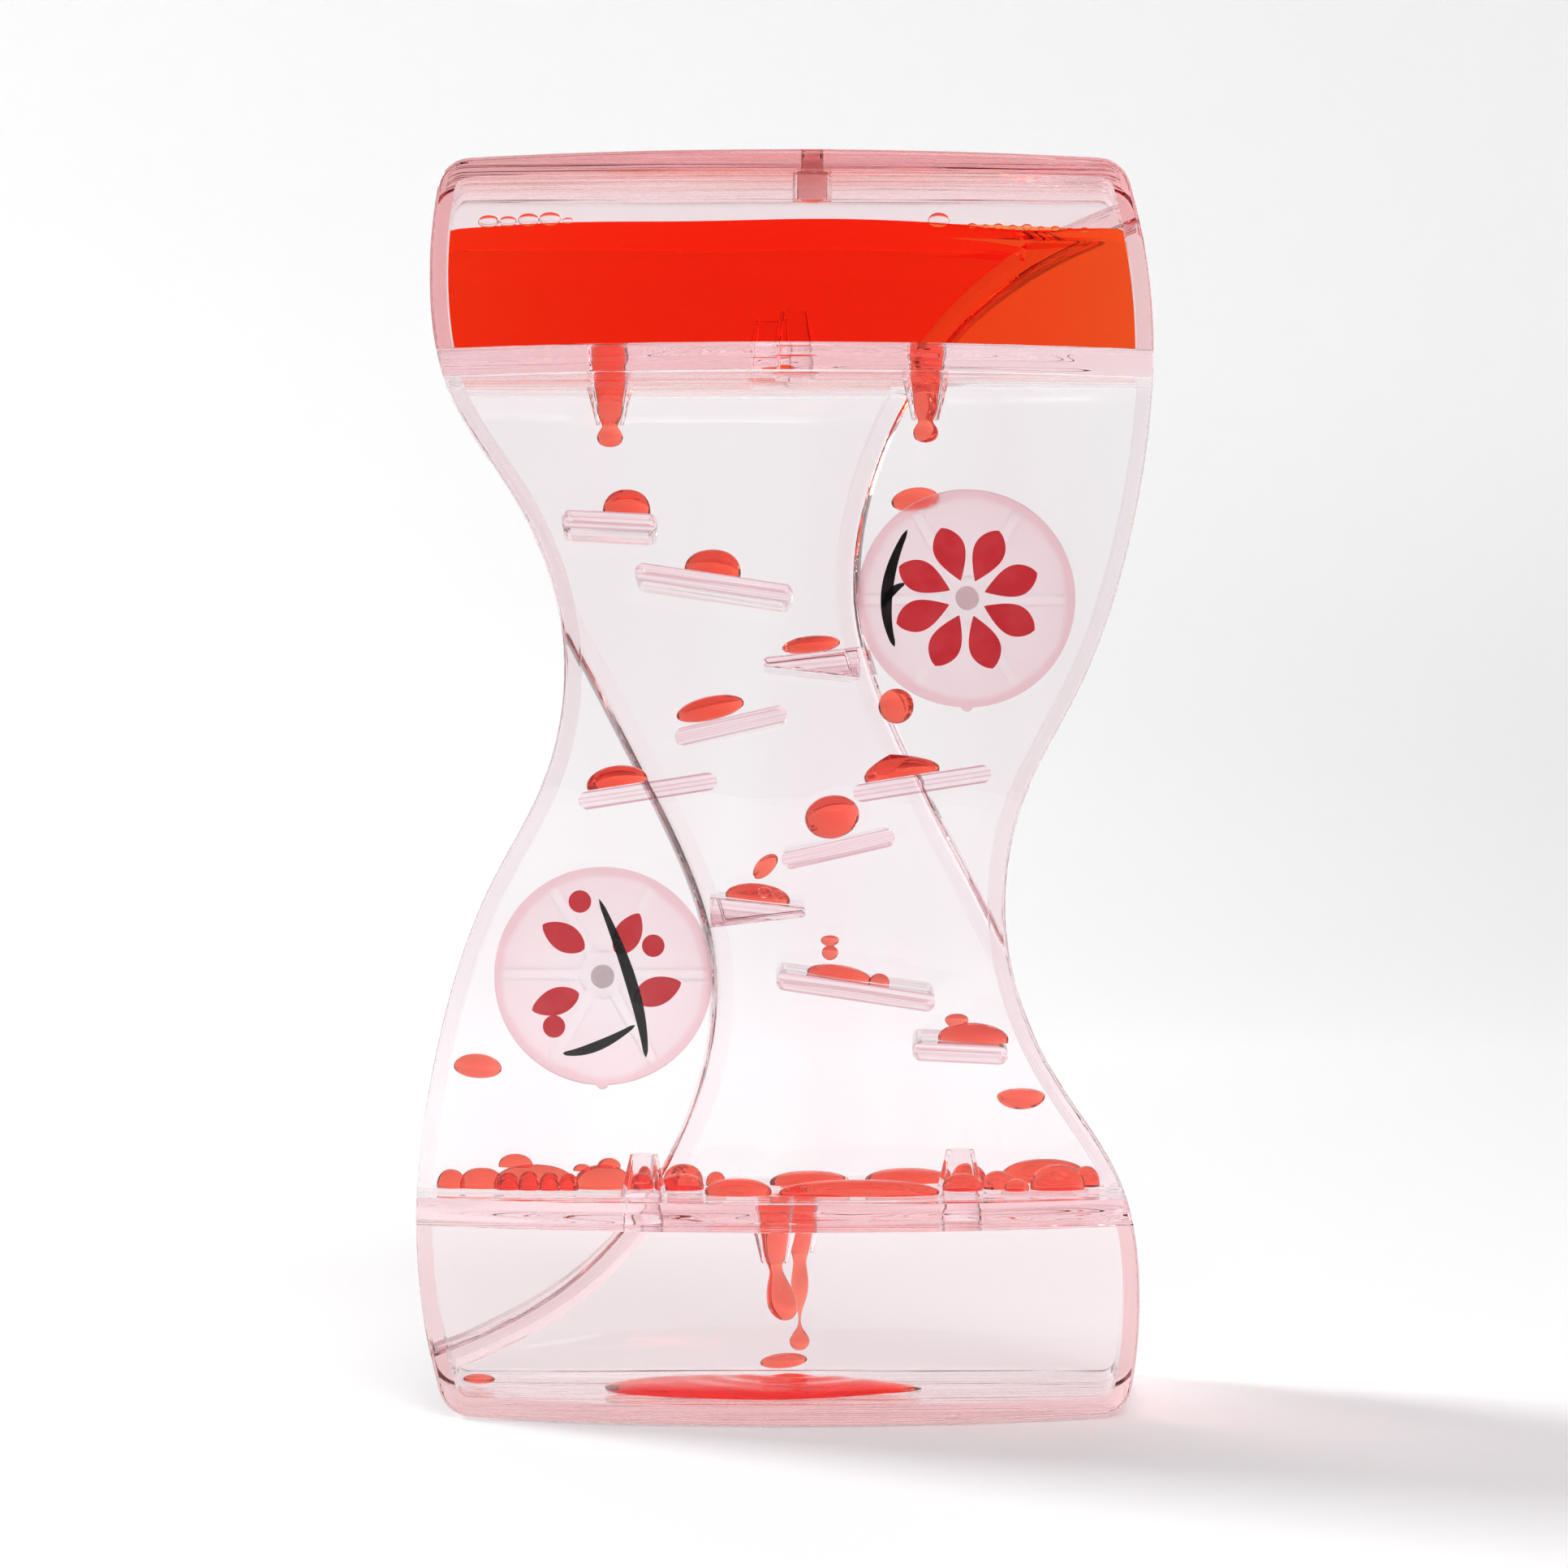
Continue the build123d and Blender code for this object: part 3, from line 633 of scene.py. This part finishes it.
ramp_beads = {
    1: [on_ramp(1, -17.4, 2.7, 2.6, 2.5, 2.9, 0.85)],
    2: [on_ramp(2, -7.6, 3.5, 2.7, 2.8, 2.9, 0.95)],
    3: [loose(2.9, drop_line, 85.9, 3.2, 2.6, 1.1, 0.95, 6.5)],
    4: [loose(-8.2, drop_line, 78.7, 3.8, 2.6, 1.5, 1.2, 13)],
    5: [on_ramp(5, -18.6, 3.2, 3.6, 2.7, 2.3)],
    6: [on_ramp(6, 12.0, 3.3, 5.2, 2.6, 2.7, 1.9)],
    7: [loose(5.2, drop_line, 66.7, 3.0, 2.8, 2.4, 2.45, 13)],
    8: [on_ramp(8, -3.0, 3.6, 3.6, 2.4, 1.9)],
    9: [on_ramp(9, 5.9, 3.5, 3.6, 2.5, 1.4), on_ramp(9, 10.4, 1.1, 1.1, 0.9, 1.1),
        loose(4.95, drop_line, 52.9, 1.0, 0.9, 0.5, 0.75),
        loose(4.95, drop_line, 51.5, 0.9, 0.9, 0.75, 0.9)],
    10: [on_ramp(10, 20.8, 4.0, 3.9, 2.5, 2.1), loose(18.9, drop_line, 43.9, 1.3, 1.1, 0.7, 0.9)],
}
for number, beads in ramp_beads.items():
    skin(f"ramp_bead_{number}", beads, drop_red, f"ramp_drop_{number}")

# Foam on the pool: bubbles of the clear liquid that the last turn-over left at the front wall, where they
# lie on the red one, and a bubble pair on the eighth ramp's drop. Those at the left float high, and those at
# the right lie in the pool's dip. Each has its x and half width.
left_foam = [(-32.8, 1.2), (-30.6, 1.0), (-28.3, 1.2), (-25.9, 1.25), (-23.9, 0.6)]
right_foam = [(20.6, 0.5), (22.1, 0.4), (23.5, 0.55), (25.1, 0.45), (26.7, 0.6), (28.3, 0.4), (29.9, 0.5),
              (31.5, 0.35), (33.2, 0.5)]
left_sink = 0.1
right_sink = 0.7
foam_gap = 0.3
foam_depth = 0.7
foam_rise = 0.5
foam_round = 0.6
foam = [loose(x, bowed_front(x) + foam_gap + foam_depth * half, pool_high + foam_rise * half - sink, half,
              foam_depth * half, foam_round * half, foam_round * half)
        for sink, row in ((left_sink, left_foam), (right_sink, right_foam)) for x, half in row]
foam += [loose(16.9, -12.3, pool_high + 0.1, 1.2, 0.9, 0.9, 0.7),
         loose(-2.2, -8.7, 58.3, 0.75, 0.5, 0.6, 0.6), loose(-0.8, -8.6, 58.0, 0.65, 0.5, 0.55, 0.55)]
foam_film = clear_material("foam_film", tint=(1.0, 0.97, 0.975), dye=(1.0, 0.7, 0.7), density=8.0, index=1.15,
                           shade=(0.96, 0.9, 0.9), grain=(200, 200, 200), depth=0.0001)
skin("foam", foam, foam_film, slot="clear_plastic")

# Drops on their way between the ramps and wheels: three slide down the back of a wing, one falls from the
# last ramp, one leaves the end of a ramp, and two have come down on the bottom.
loose_drops = [loose(-34.1, 0.5, 38.0, 2.75, 1.8, 1.6, 1.2, lean=-4),
               loose(14.4, 0.5, 102.6, 2.7, 1.8, 1.5, 1.2, lean=8),
               loose(12.2, 0.4, 79.3, 2.0, 1.9, 1.9, 2.1, lean=25),
               loose(26.1, drop_line, 35.3, 2.7, 2.4, 0.9, 1.5),
               loose(-2.1, drop_line, 61.1, 1.75, 1.3, 1.0, 0.9, lean=46),
               loose(-0.1, 3.6, 4.3, 2.6, 1.8, 0.9, 0.8, lean=5),
               loose(-33.9, -1.5, 2.75, 1.8, 1.4, 0.6, 0.5)]
skin("loose_red", loose_drops, drop_red, "loose_drops")

# Red liquid on the lower plate: drops that have come down and not yet run together, crowded along the plate
# towards its nozzles, a few on top of others. Each has x, y, half its width, half its depth and its height,
# and those on top also how far they are raised.
plate_top = 24.2
plate_fullness = 0.9
low_beads = [(-37.1, 0.8, 1.7, 1.5, 2.1), (-33.6, 0.8, 2.6, 1.6, 2.3), (-27.7, 0.9, 4.6, 1.5, 2.7),
             (-30.6, -1.0, 1.3, 1.1, 1.9), (-28.3, -1.2, 1.2, 1.1, 2.1), (-26.0, -1.2, 1.2, 1.1, 2.0),
             (-23.9, -0.9, 1.1, 1.1, 1.9), (-20.1, 0.8, 3.3, 1.6, 2.7), (-16.0, 0.8, 2.0, 1.6, 1.7),
             (-11.4, 0.6, 2.5, 2.4, 1.8), (-11.2, 6, 2.2, 2.2, 2.4), (-5.1, -5.5, 3.7, 2.6, 1.8),
             (-15.4, 5, 1.3, 1.4, 2.0), (-7.6, 5, 1.1, 1.3, 1.6), (2.8, 6, 4.4, 3.0, 1.6),
             (8.2, -6, 8.8, 2.4, 1.7), (13.6, 9, 4.8, 3.0, 1.6), (19.6, -1, 2.2, 2.0, 1.9),
             (20.2, 7, 2.1, 2.0, 2.2), (23.5, 1, 1.8, 2.0, 2.0), (25.6, -1.5, 1.4, 1.6, 1.3),
             (30.2, -0.5, 3.1, 2.2, 2.8), (33.5, 3, 1.5, 1.9, 2.3), (28.8, 9, 5.0, 2.6, 2.6)]
top_beads = [(-29.8, 0.9, 1.9, 1.2, 1.5, 2.4), (-19.4, 0.9, 1.3, 1.1, 1.1, 2.4),
             (-22.4, 1.0, 1.0, 1.0, 0.8, 2.0)]
plate_beads = [bead(x, y, plate_top, half, half, half_depth, height, fullness=plate_fullness)
               for x, y, half, half_depth, height in low_beads]
plate_beads += [bead(x, y, plate_top + raised, half, half, half_depth, height)
                for x, y, half, half_depth, height, raised in top_beads]
layer_red = clear_material("layer_red_liquid", tint=(1.0, 0.2, 0.12), dye=(1.0, 0.3, 0.15), density=220.0,
                           index=1.2, shade=thin_shade, grain=thin_grain, depth=0.0002)
skin("plate_beads", plate_beads, layer_red, "red_layer")

# Red liquid on the bottom: a thin puddle below the lower nozzles, raised in rings where drops have landed.
# It lies flat on the plastic, as the heavier liquid does.
puddle_floor = 2.15
landing_x = 1
landing_y = 2.5
ring_height = 0.32
ring_rate = 1.5
ring_fade = 6


def puddle_grid(x, y, half_width, half_depth, height):
    """A puddle: its outline is an ellipse with three and five slow waves, and its top is
    height * (1 - share ** 5) with low rings round the place where drops land."""
    share = np.concatenate([np.linspace(0, 1, 31), [0.99, 0.6, 0]])[:, None]
    above = np.concatenate([np.ones(31), np.zeros(3)])[:, None]
    turn = np.linspace(0, 2 * math.pi, 72, endpoint=False)[None]
    reach = share * (1 + 0.04 * np.sin(3 * turn + 0.6) + 0.03 * np.sin(5 * turn + 2))
    along = x + half_width * reach * np.cos(turn)
    deep = y + half_depth * reach * np.sin(turn)
    away = np.hypot(along - landing_x, deep - landing_y)
    rings = ring_height * np.sin(ring_rate * away) * np.exp(-away / ring_fade) * (1 - share ** 2)
    return np.stack([along, deep, puddle_floor + above * (height * (1 - share ** 5) + rings)], -1)


puddle = puddle_grid(-3.2, -3.2, half_width=17.4, half_depth=8.0, height=1.0)
puddle_red = clear_material("puddle_red_liquid", tint=(1.0, 0.2, 0.1), dye=(1.0, 0.3, 0.15), density=460.0,
                            index=1.12, shade=thin_shade, grain=thin_grain, depth=0.0002)
skin("puddle", [puddle], puddle_red, "red_puddle")

# Filling plug: a soft pink peg of coloured plastic, pressed into the hole in the top once the liquids are
# in, and flush with it.
dress(["fill_plug"],
      clear_material("plug_plastic", tint=(0.86, 0.5, 0.48), dye=(1.0, 0.4, 0.4), density=120.0, index=1.25,
                     shade=(0.95, 0.7, 0.7), grain=(400, 400, 150), depth=0.0002, roughness=0.25))

# Floor: a sweep of white paper that bends up behind the object, laid on a wide pale ground. Both carry
# painted light:
# the paper glows higher up as a lit wall, a little more to the right and lower down, and the ground glows far
# out.
paper_front = -1200
paper_half = 550
paper_level = -0.2
bend_start = 450
bend_radius = 300
paper_top = 1600
ground_half = 20000
ground_level = -0.6
painted_glow_lean = (0.3, 0, -0.3)


def paper_material(name):
    """Matt white paper that may glow with painted light, with its tree, its surface and its Object
    coordinates.
    """
    material, tree, surface = new_material(name)
    wire(tree, surface, {"Base Color": (0.9, 0.9, 0.91, 1), "Roughness": 0.9,
                         "Emission Color": (1, 1, 1, 1)})
    return material, tree, surface, add(tree, "TexCoord", {}).outputs["Object"]


def eased(tree, value, start, end, least, most):
    """A value from start to end becomes least to most, with a soft start and end."""
    ease = add(tree, "MapRange", {"Value": value, "From Min": start, "From Max": end, "To Min": least,
                                  "To Max": most}, interpolation_type="SMOOTHSTEP")
    return ease.outputs["Result"]


white, tree, surface, place = paper_material("white_paper")
height = add(tree, "SeparateXYZ", {"Vector": place}).outputs["Z"]
# Painted light: emission that rises with height up the wall, a little brighter to the right and lower down.
painted_glow = eased(tree, height, start=-0.1, end=0.25, least=0.0, most=0.318)
fall = add(tree, "VectorMath", {0: place, 1: painted_glow_lean}, operation="DOT_PRODUCT").outputs["Value"]
wire(tree, surface, {"Emission Strength": sums(tree, "MULTIPLY_ADD", fall, painted_glow, painted_glow)})
bend = np.linspace(0, math.pi / 2, 25)
rise = np.stack([bend_start + bend_radius * np.sin(bend),
                 paper_level + bend_radius - bend_radius * np.cos(bend)], 1)
sweep = np.concatenate([[(paper_front, paper_level)], rise, [(bend_start + bend_radius, paper_top)]])
paper_grid = np.stack([np.insert(sweep, 0, side, axis=1) for side in (-paper_half, paper_half)])
paper_mesh = from_grids("paper", [paper_grid], white)
paper_mesh.shade_smooth()
put("paper", paper_mesh)

pale, tree, surface, place = paper_material("pale_ground")
away = add(tree, "VectorMath", {0: place}, operation="LENGTH").outputs["Value"]
# Painted light: the ground glows more the farther it lies from the middle, so it stays white far out.
wire(tree, surface, {"Emission Strength": eased(tree, away, start=0.5, end=3, least=0.0, most=0.4)})
ground_grid = np.array([[(x, y, ground_level) for y in (-ground_half, ground_half)]
                        for x in (-ground_half, ground_half)])
put("ground", from_grids("ground", [ground_grid], pale))

# Light: a studio that is bright above and dim all round, so that the clear walls show dark and pink edges
# before the lit paper, a lamp at the left, a little behind, that throws the shadow to the right, and a weak
# one high in front for the print and the discs.
world = bpy.data.worlds.new("studio")
scene.world = world
world.use_nodes = True
tree = world.node_tree
way = add(tree, "SeparateXYZ", {"Vector": add(tree, "TexCoord", {}).outputs["Generated"]})
wire(tree, tree.nodes["Background"],
     {"Color": (1, 0.985, 0.985, 1),
      "Strength": eased(tree, way.outputs["Z"], start=0.15, end=0.8, least=0.11, most=0.29)})


def lamp(name, energy, size, place, target):
    """A square area lamp that faces a target."""
    light = bpy.data.lights.new(name, "AREA")
    light.energy = energy
    light.size = size
    holder = put(name, light)
    holder.location = place
    holder.rotation_euler = (Vector(target) - Vector(place)).to_track_quat("-Z", "Y").to_euler()


lamp("key", energy=35, size=0.5, place=(-1.5, 0.68, 0.95), target=(0, 0, 0.05))
lamp("fill", energy=2.2, size=0.4, place=(0.12, -0.46, 0.58), target=(0, 0, 0.07))

# Camera: square on to the front, at half the object's height. Light may pass many clear walls on its way
# to it, so it is followed through many bounces.
camera = bpy.data.cameras.new("camera")
camera.sensor_width = 36
camera.lens = 69.18
camera.clip_start = 0.01
eye = put("camera", camera)
eye.location = (-0.00009, -0.347, 0.07036)
eye.rotation_euler = (math.pi / 2, 0, 0)
scene.camera = eye
scene.view_settings.view_transform = "Standard"
scene.cycles.max_bounces = 40
scene.cycles.transmission_bounces = 40
scene.cycles.transparent_max_bounces = 40
scene.cycles.glossy_bounces = 8
scene.cycles.diffuse_bounces = 4
